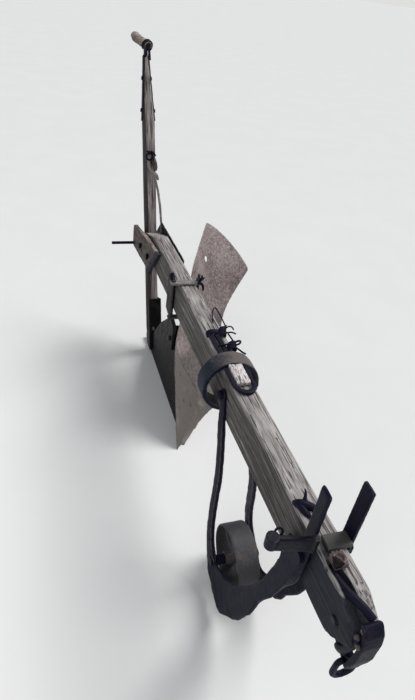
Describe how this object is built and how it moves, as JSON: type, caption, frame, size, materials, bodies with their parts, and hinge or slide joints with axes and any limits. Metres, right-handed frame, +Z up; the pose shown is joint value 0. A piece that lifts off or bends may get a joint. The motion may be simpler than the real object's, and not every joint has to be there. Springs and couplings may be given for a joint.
{
  "type": "single-stilt walking moldboard plough with gauge wheel",
  "caption": "Old horse-drawn walking plough with a timber beam, one wooden stilt, a twisted iron wing and share, a banded nose and a small iron gauge wheel in a bent fork.",
  "frame": {"origin": "floor level, under the middle of the plough's bounding box; the share, the sole bar and the wheel stand on Z = 0", "axes": "+X is the plough's left side, where the wing throws the furrow; -Y is the front with the hitch; +Z is up"},
  "size_m": [0.5331, 2.08, 1.1333],
  "materials": {
    "beam_wood": "weathered",
    "plank_wood": "weathered",
    "stilt_wood": "weathered",
    "grip_wood": "worn",
    "wedge_wood": "weathered",
    "dark_iron": "rusted dark",
    "wing_iron": "pitted rust",
    "share_iron": "worn rust",
    "clamp_iron": "rusted",
    "nut_iron": "rusted",
    "plate_iron": "rusted",
    "rod_rust": "rusted",
    "wheel_iron": "rusted"
  },
  "bodies": {
    "plough": {"beam": "beam_wood", "tail_cheek": "plank_wood", "tail_plate": "dark_iron", "cross_rod": "dark_iron", "tail_bolts": "dark_iron", "stilt": "stilt_wood", "stilt_irons": "dark_iron", "ferrule": "dark_iron", "grip": "grip_wood", "latch_staple": "dark_iron", "latch_rod": "rod_rust", "socket": "dark_iron", "sole": "dark_iron", "landside": "dark_iron", "standard": "dark_iron", "standard_clamp": "clamp_iron", "frog": "dark_iron", "share": "share_iron", "moldboard": "wing_iron", "collar": "dark_iron", "collar_bolts": "dark_iron", "wear_strap": "dark_iron", "wedge": "wedge_wood", "tie_bars": "dark_iron", "fork_left": "dark_iron", "fork_right": "dark_iron", "fork_bolts": "dark_iron", "axle": "dark_iron", "clamp_bar": "dark_iron", "clamp_plate": "plate_iron", "clamp_nut": "nut_iron", "eye_bolt": "dark_iron", "nose_strap": "dark_iron", "nose_pin": "dark_iron"},
    "wheel": {"wheel": "wheel_iron"},
    "draught_link": {"draught_link": "dark_iron"}
  },
  "joints": [
    {"name": "wheel_spin", "type": "hinge", "parent": "plough", "child": "wheel", "pos_m": [-0.1146, -0.58, 0.09], "axis": [1, 0, 0], "continuous": true},
    {"name": "link_swing", "type": "hinge", "parent": "plough", "child": "draught_link", "pos_m": [-0.1146, -1.013, 0.44096], "axis": [1, 0, 0], "range_deg": [-50, 40]}
  ]
}
